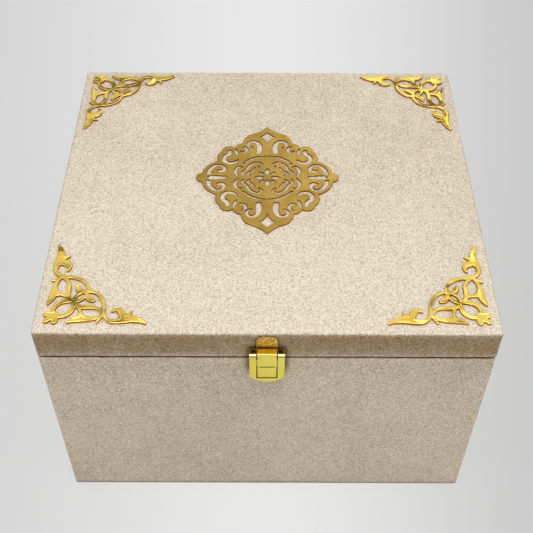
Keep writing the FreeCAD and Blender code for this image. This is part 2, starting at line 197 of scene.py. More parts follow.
def velvet_material(name):
    """Short pile velvet with a grain of single tufts.

    The painted light and pile attribute sets the pile from shaded at 0 to lit at 1: partly the way the pile
    lies, partly painted light and shade. Narrow gaps get painted shade.
    """
    look = Nodes(name)
    place = look.position()
    painted_light_and_pile = look.node("ShaderNodeAttribute", attribute_name="painted_light_and_pile").outputs["Fac"]
    tufts = look.cells(place, 1600)
    clumps = look.cells(place, 760)
    grain = look.noise(look.stretched(place, (1, 0.8, 0.7)), 1200, 2.0, 0.6)
    streaks = look.noise(look.stretched(place, (1, 0.35, 0.25)), 130, 3.0, 0.6)
    clouds = look.math("ADD", look.math("MULTIPLY", look.noise(place, 22, 3.0, 0.55), 0.5),
                       look.math("MULTIPLY", look.noise(place, 8, 2.0, 0.5), 0.5))
    # Painted light and shade from the attribute, with random cloudy patches and streaks of the pile on top
    turned = look.math("ADD", painted_light_and_pile, look.ramp(clouds, 0.35, 0.65, -0.1, 0.1))
    turned = look.math("ADD", turned, look.ramp(streaks, 0.3, 0.7, -0.07, 0.07))
    painted_light_and_patches = look.mix(turned, VELVET_SHADED, VELVET_LIT)
    dark = look.mix(1.0, painted_light_and_patches, (0.46, 0.41, 0.35, 1.0), "MULTIPLY")
    # Pale tufts, stronger where more light is painted
    light = look.mix(look.ramp(painted_light_and_pile, 0.0, 0.7, 0.3, 0.8), painted_light_and_patches, rgb(255, 247, 226))
    speckle = look.math("ADD", look.math("MULTIPLY", tufts, 0.48), look.math("MULTIPLY", clumps, 0.1))
    speckle = look.math("ADD", speckle, look.math("MULTIPLY", grain, 0.42))
    colour = look.mix(look.ramp(speckle, 0.14, 0.5), dark, painted_light_and_patches)
    colour = look.mix(look.ramp(speckle, 0.5, 0.84), colour, light)
    # Painted shade: an occlusion node darkens narrow gaps and the pile round the latch and castings, where
    # little light is painted
    near = look.node("ShaderNodeAmbientOcclusion", samples=6)
    near.inputs["Distance"].default_value = 0.006
    painted_shade_share = look.math("MULTIPLY", look.ramp(near.outputs["AO"], 0.95, 0.4),
                       look.ramp(painted_light_and_pile, 0.9, 0.7, 0.0, 0.7))
    colour = look.mix(painted_shade_share, colour, rgb(88, 64, 42))
    painted_gap_shade = look.math("MULTIPLY", look.ramp(near.outputs["AO"], 0.76, 0.44), look.ramp(painted_light_and_pile, 0.9, 0.7))
    colour = look.mix(painted_gap_shade, colour, rgb(58, 34, 16))
    normal = look.bump(speckle, 0.6, 0.0005)
    return look.finish(Base_Color=colour, Roughness=0.92, Specular_IOR_Level=0.1,
                       Sheen_Weight=0.25, Sheen_Roughness=0.4, Sheen_Tint=(1.0, 0.95, 0.87, 1.0),
                       Normal=normal)


def gold_material(name, light, dark, roughness, wave, painted_crevice_shade=None, cast_depth=0.0002, patches=60):
    """Electroplated gold: slightly uneven polish over a cast surface.

    With a crevice shade colour it gets painted shade in its gaps, a painted pale highlight on its bends and
    a darker painted reflection on faces that look up.
    """
    look = Nodes(name)
    place = look.position()
    cast = look.noise(place, 260, 3.0, 0.6)
    cloud = look.noise(place, patches, 2.0, 0.5)
    colour = look.mix(look.ramp(cloud, 0.35, 0.65), dark, light)
    if painted_crevice_shade is not None:
        # Painted shade in narrow gaps from an occlusion node, a painted highlight on faces tilted up and a
        # darker painted reflection on faces that look straight up
        open_share = look.node("ShaderNodeAmbientOcclusion", samples=8)
        open_share.inputs["Distance"].default_value = 0.0016
        parts = look.node("ShaderNodeSeparateXYZ")
        look.link(look.node("ShaderNodeTexCoord").outputs["Normal"], parts.inputs[0])
        colour = look.mix(look.ramp(parts.outputs["Z"], 0.2, 0.5), colour, rgb(255, 251, 210))
        colour = look.mix(look.ramp(parts.outputs["Z"], 0.72, 0.88), colour, rgb(210, 168, 44))
        colour = look.mix(look.ramp(open_share.outputs["AO"], 0.55, 0.96), painted_crevice_shade, colour)
    gloss = look.ramp(cast, 0.3, 0.7, roughness * 0.8, roughness * 1.3)
    broad = look.noise(place, 50, 1.0, 0.4)
    normal = look.bump(cast, 0.2, cast_depth, normal=look.bump(broad, 1.0, wave))
    return look.finish(Base_Color=colour, Metallic=1.0, Roughness=gloss, Normal=normal)


def board_material():
    """Brown fibreboard with flecks."""
    look = Nodes("fibreboard")
    place = look.position()
    fleck = look.noise(place, 700, 3.0, 0.7)
    layers = look.noise(place, 90, 2.0, 0.5)
    colour = look.mix(look.ramp(fleck, 0.35, 0.65), rgb(150, 118, 84), rgb(182, 150, 112))
    colour = look.mix(look.ramp(layers, 0.3, 0.7, 0.0, 0.25), colour, rgb(130, 100, 70))
    return look.finish(Base_Color=colour, Roughness=0.85, Normal=look.bump(fleck, 0.4, 0.0005))


def lining_material():
    """Thin woven satin cloth: crossed threads with a slight lustre."""
    look = Nodes("lining_cloth")
    place = look.position()
    across = look.noise(look.stretched(place, (90, 1400, 1400)), 1.0, 2.0, 0.5)
    along = look.noise(look.stretched(place, (1400, 90, 90)), 1.0, 2.0, 0.5)
    threads = look.math("ADD", look.math("MULTIPLY", across, 0.5), look.math("MULTIPLY", along, 0.5))
    soft = look.noise(place, 22, 2.0, 0.5)
    colour = look.mix(look.ramp(threads, 0.35, 0.65), rgb(206, 188, 158), rgb(226, 211, 184))
    colour = look.mix(look.ramp(soft, 0.35, 0.65, 0.0, 0.3), colour, rgb(214, 197, 168))
    return look.finish(Base_Color=colour, Roughness=0.6, Specular_IOR_Level=0.3, Sheen_Weight=0.25,
                       Sheen_Roughness=0.5, Normal=look.bump(threads, 0.35, 0.0003))


def felt_material():
    """Pressed felt with short tangled fibres."""
    look = Nodes("underside_felt")
    place = look.position()
    tangle = look.noise(place, 600, 4.0, 0.75)
    lumps = look.noise(place, 70, 2.0, 0.5)
    colour = look.mix(look.ramp(tangle, 0.3, 0.7), rgb(86, 70, 52), rgb(122, 102, 78))
    colour = look.mix(look.ramp(lumps, 0.35, 0.65, 0.0, 0.3), colour, rgb(104, 86, 64))
    return look.finish(Base_Color=colour, Roughness=0.98, Specular_IOR_Level=0.05,
                       Normal=look.bump(tangle, 0.8, 0.0008))


def steel_material():
    """Bright plated steel wire, faintly drawn along its length."""
    look = Nodes("steel")
    place = look.position()
    drawn = look.noise(look.stretched(place, (60, 3000, 3000)), 1.0, 2.0, 0.5)
    colour = look.mix(look.ramp(drawn, 0.3, 0.7), rgb(176, 172, 164), rgb(206, 202, 196))
    return look.finish(Base_Color=colour, Metallic=1.0, Roughness=look.ramp(drawn, 0.3, 0.7, 0.22, 0.36),
                       Normal=look.bump(drawn, 0.15, 0.0002))


velvet = velvet_material("velvet")
corner_gold = gold_material("cast_gold_plate", rgb(255, 226, 120), rgb(250, 208, 90), 0.22, 0.007)
# A darker copy of the gold for the side walls of the castings: painted shade and a dim painted reflection
shaded_gold_wall = gold_material("cast_gold_side_shaded", rgb(206, 134, 36), rgb(150, 88, 18), 0.4, 0.001)
medallion_gold = gold_material("medallion_gold_plate", rgb(196, 162, 80), rgb(184, 148, 68), 0.32, 0.0006)
# The same for the medallion's side walls: painted shade and a dim painted reflection
shaded_medallion_wall = gold_material("medallion_gold_side_shaded", rgb(170, 110, 40), rgb(124, 72, 20), 0.45, 0.0005)
latch_gold = gold_material("latch_gold_plate", rgb(255, 240, 112), rgb(252, 230, 96), 0.16, 0.0003,
                           painted_crevice_shade=rgb(30, 14, 2))
strike_gold = gold_material("strike_gold_plate", rgb(232, 206, 126), rgb(166, 134, 70), 0.38, 0.0004,
                            cast_depth=0.0012, patches=700)
fibreboard = board_material()
lining_cloth = lining_material()
felt = felt_material()
steel = steel_material()


# Mesh helpers

def piece(name, vertices, faces, material):
    """A new smooth-shaded object from vertices in millimetres."""
    mesh = bpy.data.meshes.new(name)
    mesh.from_pydata([tuple(c * MM for c in v) for v in vertices], [], [tuple(f) for f in faces])
    mesh.polygons.foreach_set("use_smooth", [True] * len(mesh.polygons))
    mesh.materials.append(material)
    mesh.update()
    made = bpy.data.objects.new(name, mesh)
    bpy.context.scene.collection.objects.link(made)
    return made


def lines(half, fine, coarse):
    """Positions from -half to half: close together near both ends, coarse between."""
    ends = [0.0]
    for step in fine:
        ends.append(ends[-1] + step)
    middle = 2 * (half - ends[-1])
    count = max(2, round(middle / coarse))
    low = [-half + e for e in ends]
    inner = [-half + ends[-1] + middle * i / count for i in range(1, count)]
    return low + inner + [-v for v in reversed(low)]


# Steps of the columns from a corner inwards
FINE = (0.45, 0.5, 0.6, 0.8, 1.1, 1.6, 2.4)


class Shell:
    """Rings of a rounded rectangle, stacked into a skin; all rings share the same columns."""

    def __init__(self, half_x, half_y, coarse):
        self.half_x, self.half_y = half_x, half_y
        self.xs = lines(half_x, FINE, coarse)
        self.ys = lines(half_y, FINE, coarse)
        nx, ny = len(self.xs), len(self.ys)
        self.loop = [(i, 0) for i in range(nx)] + [(nx - 1, j) for j in range(1, ny)]
        self.loop += [(i, ny - 1) for i in range(nx - 2, -1, -1)] + [(0, j) for j in range(ny - 2, 0, -1)]
        self.vertices = []
        self.faces = []
        self.rings = []

    def place(self, i, j, inset, radius):
        """Column (i, j) on the rectangle that lies inset inside the outer one."""
        hx, hy = self.half_x - inset, self.half_y - inset
        x = self.xs[i] * hx / self.half_x
        y = self.ys[j] * hy / self.half_y
        cx = max(-hx + radius, min(hx - radius, x))
        cy = max(-hy + radius, min(hy - radius, y))
        away = math.hypot(x - cx, y - cy)
        if away < 1e-9 or radius < 1e-9:
            return x, y
        return cx + (x - cx) / away * radius, cy + (y - cy) / away * radius

    def ring(self, inset, z, radius):
        row = []
        for i, j in self.loop:
            row.append(len(self.vertices))
            self.vertices.append((*self.place(i, j, inset, radius), z))
        if self.rings:
            last = self.rings[-1]
            n = len(row)
            for k in range(n):
                self.faces.append((last[k], last[(k + 1) % n], row[(k + 1) % n], row[k]))
        self.rings.append(row)

    def cap(self, inset, z):
        """The last ring filled with a grid."""
        nx, ny = len(self.xs), len(self.ys)
        edge = {place: index for place, index in zip(self.loop, self.rings[-1])}
        grid = {}
        for i in range(nx):
            for j in range(ny):
                if (i, j) in edge:
                    grid[i, j] = edge[i, j]
                else:
                    grid[i, j] = len(self.vertices)
                    self.vertices.append((*self.place(i, j, inset, 0.0), z))
        for i in range(nx - 1):
            for j in range(ny - 1):
                self.faces.append((grid[i, j], grid[i + 1, j], grid[i + 1, j + 1], grid[i, j + 1]))


def ripple(vertices, amount, seed, edge_amount):
    """The skin with a slight hand-made unevenness, in millimetres, kept in place where it is glued down."""
    out = []
    for x, y, z in vertices:
        p = Vector((x + seed, y - seed, z))
        wide = noise.noise_vector(p / 34) * amount
        # A place near two faces at once is at an edge
        near = (abs(x) > HALF_X - 4) + (abs(y) > HALF_Y - 4) + (z > TOP - 4) + (abs(z - LID_RIM) < 4)
        fine = noise.noise_vector(p / 7) * (edge_amount if near > 1 else edge_amount * 0.25)
        free = min(1.0, z / 8)
        moved = Vector((x, y, z)) + (wide + fine) * free
        out.append(tuple(moved))
    return out


def paint_light_and_pile(made, height_pairs, up_pairs):
    """Painted light and shade, partly the way the pile lies: by height on the walls, and from front to back
    on faces that look up.
    """
    heights = [z for z, _ in height_pairs]
    values = [v for _, v in height_pairs]
    places = [y for y, _ in up_pairs]
    up_values = [v for _, v in up_pairs]
    mesh = made.data
    layer = mesh.attributes.new("painted_light_and_pile", "FLOAT", "POINT")
    for k, (vertex, normal) in enumerate(zip(mesh.vertices, mesh.vertex_normals)):
        wall = float(np.interp(vertex.co.z / MM, heights, values))
        facing = min(1.0, max(0.0, (normal.vector.z - 0.35) / 0.5))
        up_light_and_pile = float(np.interp(vertex.co.y / MM, places, up_values))
        layer.data[k].value = wall + (up_light_and_pile - wall) * facing


def quarter_turn(count):
    """Sines and cosines of a quarter circle in equal steps."""
    return [(math.sin(a), math.cos(a)) for a in (math.pi / 2 * i / count for i in range(count + 1))]


# Velvet covers

def rolled(least, inset):
    """Corner radius of a ring that lies inset inside the walls."""
    return max(EDGE_UPRIGHT - inset, least)


def base_cover():
    """Velvet round the four walls, over the rim and in, and turned under the floor."""
    shell = Shell(HALF_X, HALF_Y, 5.0)
    for inset, z in ((HEM, 0.35), (HEM - 0.1, BASE_BOTTOM + 0.02), (8.0, BASE_BOTTOM), (3.0, BASE_BOTTOM)):
        shell.ring(inset, z, EDGE_UPRIGHT)
    for sine, cosine in quarter_turn(5):
        inset = EDGE_RIM * (1 - sine)
        shell.ring(inset, BASE_BOTTOM + EDGE_RIM * (1 - cosine), rolled(0.4, inset))
    count = 30
    wall = BASE_RIM - BASE_BOTTOM - 2 * EDGE_RIM
    for k in range(1, count):
        shell.ring(0, BASE_BOTTOM + EDGE_RIM + wall * k / count, EDGE_UPRIGHT)
    for sine, cosine in quarter_turn(5):
        inset = EDGE_RIM * (1 - cosine)
        shell.ring(inset, BASE_RIM - EDGE_RIM * (1 - sine), rolled(0.4, inset))
    for step_back, depth in RIM_TURN:
        shell.ring(RIM_WIDTH - step_back, BASE_RIM - depth, INNER_CORNER)
    faces = [tuple(reversed(f)) for f in shell.faces]
    return shell.vertices, faces


def lid_cover():
    """Velvet over the lid's top and walls, over the rim and in."""
    shell = Shell(HALF_X, HALF_Y, 5.0)
    for step_back, depth in reversed(RIM_TURN):
        shell.ring(RIM_WIDTH - step_back, LID_RIM + depth, INNER_CORNER)
    for sine, cosine in quarter_turn(5):
        inset = EDGE_RIM * (1 - sine)
        shell.ring(inset, LID_RIM + EDGE_RIM * (1 - cosine), rolled(0.4, inset))
    count = 7
    wall = TOP - LID_RIM - EDGE_TOP - EDGE_RIM
    for k in range(1, count):
        shell.ring(0, LID_RIM + EDGE_RIM + wall * k / count, EDGE_UPRIGHT)
    for sine, cosine in quarter_turn(6):
        inset = EDGE_TOP * (1 - cosine)
        shell.ring(inset, TOP - EDGE_TOP * (1 - sine), rolled(0.2, inset))
    shell.cap(EDGE_TOP, TOP)
    return shell.vertices, shell.faces


def outward(obj):
    """Faces turned consistently outward."""
    mesh = obj.data
    work = bmesh.new()
    work.from_mesh(mesh)
    bmesh.ops.recalc_face_normals(work, faces=work.faces)
    work.to_mesh(mesh)
    work.free()


# The same ripple in every run
noise.seed_set(5)

vertices, faces = base_cover()
base_velvet = piece("base_velvet_skin", ripple(vertices, 0.12, 3.0, 0.16), faces, velvet)
outward(base_velvet)
paint_light_and_pile(base_velvet, ((0, 0.66), (60, 0.7), (150, 0.7), (BASE_RIM - 8, 0.64), (BASE_RIM - 0.9, 0.66)),
       ((0, 0.6),))
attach(base_velvet, "base")
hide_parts("base_velvet_cover")

vertices, faces = lid_cover()
lid_velvet = piece("lid_velvet_skin", ripple(vertices, 0.12, 11.0, 0.16), faces, velvet)
outward(lid_velvet)
# On the lid, painted shade on the walls, darkest just below the top and lighter towards the seam and at the
# top edge; painted light on the top, stronger towards the front
paint_light_and_pile(lid_velvet, ((LID_RIM + 1.6, 0.42), (LID_RIM + 3.2, 0.18),
                    (LID_RIM + 9, 0.06), (TOP - 4, 0.0), (TOP - 1.5, 0.2)),
       ((-133, 1.25), (-122, 1.1), (-60, 0.98), (0, 0.93), (80, 0.87), (133, 0.84)))
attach(lid_velvet, "lid")
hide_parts("lid_velvet_cover")


# Ornaments

def smooth_line(stations, steps=10):
    """Points (x, y, half width) on a smooth line through the stations."""
    p = np.array(stations, float)
    p[:, 2] /= 2
    if len(p) == 2:
        t = np.linspace(0, 1, steps + 1)[:, None]
        return p[0] * (1 - t) + p[1] * t
    ends = np.vstack([2 * p[0] - p[1], p, 2 * p[-1] - p[-2]])
    out = [p[0]]
    for k in range(1, len(ends) - 2):
        a, b, c, d = ends[k - 1:k + 3]
        for i in range(1, steps + 1):
            t = i / steps
            out.append(0.5 * (2 * b + (c - a) * t + (2 * a - 5 * b + 4 * c - d) * t ** 2
                              + (3 * b - a - 3 * c + d) * t ** 3))
    return np.array(out)


def inside_band(x, y, stations):
    """How far each point lies inside a band, negative outside."""
    line = smooth_line(stations)
    best = np.full(x.shape, -99.0)
    for a, b in zip(line[:-1], line[1:]):
        dx, dy = b[0] - a[0], b[1] - a[1]
        t = np.clip(((x - a[0]) * dx + (y - a[1]) * dy) / max(dx * dx + dy * dy, 1e-9), 0, 1)
        away = np.hypot(x - a[0] - t * dx, y - a[1] - t * dy)
        best = np.maximum(best, a[2] + (b[2] - a[2]) * t - away)
    return best


def inside_disc(x, y, cx, cy, radius):
    return radius - np.hypot(x - cx, y - cy)


def inside_outline(x, y, points):
    """How far each point lies inside a closed outline, negative outside."""
    best = np.full(x.shape, 1e9)
    within = np.zeros(x.shape, bool)
    for (ax, ay), (bx, by) in zip(points, points[1:] + points[:1]):
        dx, dy = bx - ax, by - ay
        t = np.clip(((x - ax) * dx + (y - ay) * dy) / max(dx * dx + dy * dy, 1e-12), 0, 1)
        best = np.minimum(best, np.hypot(x - ax - t * dx, y - ay - t * dy))
        crosses = ((ay > y) != (by > y)) & (x < (bx - ax) * (y - ay) / (by - ay + 1e-12) + ax)
        within ^= crosses
    return np.where(within, best, -best)


def inside_leaf(x, y, start, end, width):
    """A pointed leaf between two points."""
    ax, ay = start
    dx, dy = end[0] - ax, end[1] - ay
    length = math.hypot(dx, dy)
    along = ((x - ax) * dx + (y - ay) * dy) / length - length / 2
    across = np.abs(-(x - ax) * dy + (y - ay) * dx) / length
    half = width / 2
    radius = (length ** 2 / 4 + half ** 2) / (2 * half)
    return radius - np.hypot(along, across + radius - half)


def arc_points(start, middle, end, count=10):
    """Points on the circle arc through three points, without the last."""
    (ax, ay), (bx, by), (cx, cy) = start, middle, end
    d = 2 * (ax * (by - cy) + bx * (cy - ay) + cx * (ay - by))
    if abs(d) < 1e-6:
        return [(ax + (cx - ax) * i / count, ay + (cy - ay) * i / count) for i in range(count)]
    a2, b2, c2 = ax * ax + ay * ay, bx * bx + by * by, cx * cx + cy * cy
    ux = (a2 * (by - cy) + b2 * (cy - ay) + c2 * (ay - by)) / d
    uy = (a2 * (cx - bx) + b2 * (ax - cx) + c2 * (bx - ax)) / d
    radius = math.hypot(ax - ux, ay - uy)
    first, mid, last = (math.atan2(py - uy, px - ux) for px, py in (start, middle, end))
    sweep = (last - first) % (2 * math.pi)
    if (mid - first) % (2 * math.pi) > sweep:
        sweep -= 2 * math.pi
    angles = [first + sweep * i / count for i in range(count)]
    return [(ux + radius * math.cos(a), uy + radius * math.sin(a)) for a in angles]


def relief(name, xs, ys, depth, rise, edge, hollow, high, low, materials, origin=(0, 0), sides=(1, 1)):
    """A cast piece from how far each grid point lies inside its outline.

    The face rises from high - rise at the outline to high at the distance edge, in a quarter round,
    and dips by hollow towards the middle of the wide parts. The second material is that of the side walls.
    The origin is where the drawing starts, and sides tells which way it runs along each axis.
    """
    step = xs[1] - xs[0]
    gy, gx = np.gradient(depth, step)

    def face_shape(d):
        """Height below the top, and its slope, at a distance inside."""
        u = np.clip(d / edge, 0, 1)
        drop = rise * (1 - np.sqrt(np.maximum(1 - (1 - u) ** 2, 0)))
        slope = np.where(u < 1, rise / edge * (1 - u) / np.sqrt(np.maximum(1 - (1 - u) ** 2, 0.02)), 0)
        w = np.clip((d - edge) / 1.3, 0, 1)
        return drop + hollow * w * w * (3 - 2 * w), slope - hollow / 1.3 * 6 * w * (1 - w)

    vertices, normals, faces = [], [], []
    index = {}

    def grid_point(j, i):
        key = (j, i)
        if key not in index:
            drop, slope = face_shape(depth[j, i])
            index[key] = len(vertices)
            vertices.append((xs[i], ys[j], high - float(drop)))
            normals.append((-slope * gx[j, i], -slope * gy[j, i], 1.0))
        return index[key]

    def edge_point(j0, i0, j1, i1):
        if (j1, i1) < (j0, i0):
            j0, i0, j1, i1 = j1, i1, j0, i0
        key = (j0, i0, j1, i1)
        if key not in index:
            t = depth[j0, i0] / (depth[j0, i0] - depth[j1, i1])
            _, slope = face_shape(0.0)
            nx = gx[j0, i0] * (1 - t) + gx[j1, i1] * t
            ny = gy[j0, i0] * (1 - t) + gy[j1, i1] * t
            index[key] = len(vertices)
            vertices.append((xs[i0] * (1 - t) + xs[i1] * t, ys[j0] * (1 - t) + ys[j1] * t, high - rise))
            normals.append((-slope * nx, -slope * ny, 1.0))
        return index[key]

    rim = []
    solid = depth > 0
    rows, columns = np.nonzero(solid[:-1, :-1] | solid[1:, :-1] | solid[:-1, 1:] | solid[1:, 1:])
    for j, i in zip(rows.tolist(), columns.tolist()):
        corners = [(j, i), (j, i + 1), (j + 1, i + 1), (j + 1, i)]
        around = []
        for k in range(4):
            here, there = corners[k], corners[(k + 1) % 4]
            if solid[here]:
                around.append((grid_point(*here), False))
            if solid[here] != solid[there]:
                around.append((edge_point(*here, *there), True))
        if len(around) < 3:
            continue
        faces.append([v for v, _ in around])
        for k in range(len(around)):
            (a, on_rim), (b, next_on_rim) = around[k], around[(k + 1) % len(around)]
            if on_rim and next_on_rim:
                rim.append((a, b))
    top_count = len(faces)
    side = {}

    def side_point(v, z):
        key = (v, z)
        if key not in side:
            side[key] = len(vertices)
            x, y, _ = vertices[v]
            vertices.append((x, y, z))
            nx, ny, _ = normals[v]
            size = math.hypot(nx, ny) or 1.0
            normals.append((nx / size, ny / size, 0.0))
        return side[key]

    brow = high - rise
    for a, b in rim:
        faces.append([side_point(b, brow), side_point(a, brow), side_point(a, low), side_point(b, low)])
    vertices = [(origin[0] + sides[0] * x, origin[1] + sides[1] * y, z) for x, y, z in vertices]
    if sides[0] * sides[1] < 0:
        faces = [list(reversed(f)) for f in faces]
    made = piece(name, vertices, faces, materials[0])
    made.data.materials.append(materials[1])
    made.data.polygons.foreach_set("material_index", [0] * top_count + [1] * (len(faces) - top_count))
    unit = np.array(normals, float) * (*sides, 1)
    unit /= np.linalg.norm(unit, axis=1)[:, None]
    made.data.normals_split_custom_set_from_vertices([tuple(n) for n in unit])
    return made


def corner_depth(step):
    """Open scrollwork of one corner, mirrored about its diagonal."""
    xs = np.arange(4.5, 76, step)
    x, y = np.meshgrid(xs, xs)
    bands = [
        [(32.4, 33.0, 2.0), (38.5, 31.0, 2.2), (42.6, 26.4, 2.4), (44.4, 21.0, 2.4), (45.0, 16.2, 2.6),
         (46.4, 11.8, 2.4), (49.6, 8.8, 2.6), (54.4, 8.6, 3.6), (59.6, 10.4, 6.0), (64.6, 10.3, 5.0),
         (69.2, 9.1, 3.3), (72.3, 7.4, 1.8)],
        [(58.0, 10.4, 4.8), (57.0, 13.6, 4.8), (55.8, 16.2, 4.6), (53.6, 17.6, 2.8), (51.4, 17.4, 1.9),
         (50.1, 16.5, 1.4)],
        [(60.4, 11.8, 4.0), (61.9, 14.4, 2.0), (62.8, 16.6, 0.8)],
        [(24.8, 22.8, 2.4), (27.2, 20.6, 3.0), (32.0, 19.8, 3.1), (37.6, 19.7, 2.8), (41.4, 18.2, 2.4),
         (44.2, 15.2, 2.4)],
        [(31.0, 11.0, 5.6), (30.3, 13.8, 2.8), (29.8, 16.0, 2.0), (29.2, 18.6, 2.6)],
        [(44.8, 13.6, 2.4), (41.8, 11.5, 2.6), (36.8, 10.3, 3.2), (31.4, 10.5, 5.0), (27.0, 9.7, 4.0),
         (24.0, 8.5, 2.4), (22.2, 7.6, 1.2)],
        [(43.4, 12.4, 3.0), (42.2, 9.8, 2.0), (41.2, 7.4, 0.8)],
        [(13.8, 12.2, 2.6), (18.4, 12.4, 2.6), (22.0, 14.2, 2.9), (24.2, 18.0, 3.1), (25.2, 25.2, 2.4)],
        [(24.6, 23.8, 1.8), (28.4, 25.2, 1.9), (31.2, 28.0, 1.9), (33.0, 33.0, 2.2)],
        [(31.8, 30.6, 2.4), (33.4, 27.4, 3.8), (35.4, 25.7, 3.5), (37.2, 25.2, 2.4)],
        [(13.2, 12.6, 5.0), (14.2, 9.8, 4.4), (13.9, 8.5, 4.0)],
    ]
    depth = inside_band(x, y, [(13.0, 13.0, 5.0), (10.4, 10.4, 3.8), (8.4, 8.4, 2.4)])
    depth = np.maximum(depth, inside_disc(x, y, 12.8, 12.8, 3.6))
    depth = np.maximum(depth, inside_disc(x, y, 24.9, 24.9, 2.0))
    depth = np.maximum(depth, inside_disc(x, y, 32.8, 32.8, 1.8))
    for stations in bands:
        one = inside_band(x, y, stations)
        depth = np.maximum(depth, np.maximum(one, one.T))
    return xs, depth


def medallion_outline():
    quarter = [((0, 56.0), (5.2, 50.8), (12.0, 47.2)), ((12.0, 47.2), (17.0, 43.0), (18.6, 37.0)),
               ((18.6, 37.0), (22.6, 35.4), (25.0, 32.2)), ((25.0, 32.2), (30.6, 33.2), (34.4, 28.0)),
               ((34.4, 28.0), (37.6, 22.6), (36.8, 17.6)), ((36.8, 17.6), (43.8, 13.0), (48.4, 4.2)),
               ((48.4, 4.2), (51.4, 3.0), (52.5, 0))]
    one = [p for bow in quarter for p in arc_points(*bow)] + [(52.5, 0.0)]
    two = [(x, -y) for x, y in reversed(one[:-1])]
    right = one + two
    left = [(-x, y) for x, y in reversed(right[1:-1])]
    return right + left


def medallion_depth(step):
    """The pierced plate, alike in its four quarters: outline less its openings."""
    xs = np.arange(0, 54, step)
    ys = np.arange(0, 58, step)
    x, y = np.meshgrid(xs, ys)
    plate = inside_outline(x, y, medallion_outline())
    cuts = [
        [(6.4, 27.4, 4.4), (5.9, 32.0, 4.4), (7.0, 37.0, 3.4), (10.6, 39.5, 2.8), (14.0, 37.8, 2.6),
         (14.7, 35.0, 2.3), (13.2, 32.8, 1.7), (11.4, 32.2, 1.2)],
        [(17.9, 33.2, 1.4), (15.8, 31.2, 2.3), (16.1, 28.3, 2.3), (18.8, 26.7, 1.8), (20.2, 28.4, 1.1)],
        [(28.4, 28.2, 3.2), (28.8, 25.2, 3.6), (31.8, 22.6, 3.2), (32.2, 18.4, 3.5), (29.0, 15.5, 3.4),
         (25.0, 15.9, 3.0), (22.2, 18.4, 1.6)],
        [(43.3, 2.2, 3.2), (43.1, 6.4, 3.5), (41.1, 10.4, 3.1), (37.4, 13.2, 2.4), (33.8, 12.5, 2.4),
         (31.8, 9.9, 2.6), (32.0, 7.6, 3.3), (34.0, 6.6, 3.5), (36.0, 6.9, 2.6)],
        [(42.6, 0.7, 3.4), (38.6, 1.0, 2.6), (34.6, 0.8, 2.1), (30.9, 0.7, 2.0)],
        [(24.1, 30.4, 1.4), (23.4, 27.0, 2.3), (22.4, 23.4, 1.2)],
        [(1.5, 22.6, 1.5), (8.0, 21.4, 2.1), (13.6, 18.6, 2.1), (17.9, 14.4, 1.3)],
        [(21.8, 1.4, 1.4), (23.8, 6.4, 2.5), (21.6, 11.4, 1.9), (18.6, 10.8, 1.1)],
        [(17.8, 2.0, 1.1), (18.4, 5.0, 1.9), (15.4, 8.4, 2.0), (13.0, 13.0, 2.1), (7.8, 16.0, 2.0),
         (4.0, 13.6, 1.6), (6.2, 11.0, 1.1)],
        [(12.6, 1.9, 1.0), (14.6, 4.4, 1.9), (11.4, 6.6, 1.7), (9.4, 10.0, 1.5)],
    ]
    opening = np.full(x.shape, -99.0)
    for stations in cuts:
        opening = np.maximum(opening, inside_band(x, y, stations))
    for angle, near, far, width in ((0.0, 2.2, 9.8, 3.2), (90.0, 2.2, 9.6, 3.4), (45.0, 3.2, 8.6, 2.2)):
        c, s = math.cos(math.radians(angle)), math.sin(math.radians(angle))
        opening = np.maximum(opening, inside_leaf(x, y, (near * c, near * s), (far * c, far * s), width))
    star = arc_points((5.6, 44.4), (1.9, 41.2), (0.0, 36.2)) + [(0.0, 36.2)]
    star += [(-px, py) for px, py in reversed(star[:-1])] + [(0.0, 49.6)]
    opening = np.maximum(opening, inside_outline(x, y, star))
    solid = inside_disc(x, y, 10.8, 35.6, 2.2)
    curls = [
        [(30.2, 3.5, 1.9), (34.4, 3.4, 2.1), (37.8, 4.4, 2.2), (39.2, 7.1, 2.3), (38.0, 9.5, 2.3),
         (36.1, 9.6, 2.3)],
        [(47.0, 1.5, 1.8), (44.6, 1.6, 1.5), (42.6, 2.4, 1.1)],
        [(9.2, 30.0, 1.6), (9.4, 34.0, 2.2)],
        [(21.6, 21.0, 3.0), (26.0, 20.5, 3.9), (28.2, 20.4, 4.2)],
    ]
    for stations in curls:
        solid = np.maximum(solid, inside_band(x, y, stations))
    depth = np.minimum(plate, np.maximum(-opening, solid))
    return xs, ys, depth


def mirrored_field(xs, ys, depth):
    """The same field over all four quarters."""
    full_x = np.concatenate([-xs[:0:-1], xs])
    full_y = np.concatenate([-ys[:0:-1], ys])
    rows = np.concatenate([depth[:0:-1], depth])
    return full_x, full_y, np.concatenate([rows[:, :0:-1], rows], axis=1)


corner_x, corner_field = corner_depth(GRID)
CORNERS = (("front_left", -1, -1), ("front_right", 1, -1), ("back_left", -1, 1), ("back_right", 1, 1))
for name, sx, sy in CORNERS:
    cast = relief("corner_casting_" + name, corner_x, corner_x, corner_field, 0.4, 0.6, 0.16,
                  TOP + CORNER_HEIGHT, TOP - FOOT, (corner_gold, shaded_gold_wall),
                  (sx * HALF_X, sy * HALF_Y), (-sx, -sy))
    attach(cast, "lid")
    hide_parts("corner_ornament_" + name)

medallion = relief("medallion_casting", *mirrored_field(*medallion_depth(GRID)), 0.25, 0.4, 0.0,
                   TOP + MEDALLION_HEIGHT, TOP - FOOT, (medallion_gold, shaded_medallion_wall), (0, MEDALLION_Y))
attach(medallion, "lid")
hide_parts("lid_medallion")


# Linings and pads

def wall_band(name, body, node, low, high):
    """Lining glued round the four inner faces."""
    shell = Shell(HALF_X - LINING_INSET, HALF_Y - LINING_INSET, 9.0)
    for z in [low + (high - low) * k / 8 for k in range(9)]:
        shell.ring(1.0, z, 1.2)
    made = piece(name, shell.vertices, shell.faces, lining_cloth)
    outward(made)
    made.data.flip_normals()
    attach(made, body)
    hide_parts(node)
    return made


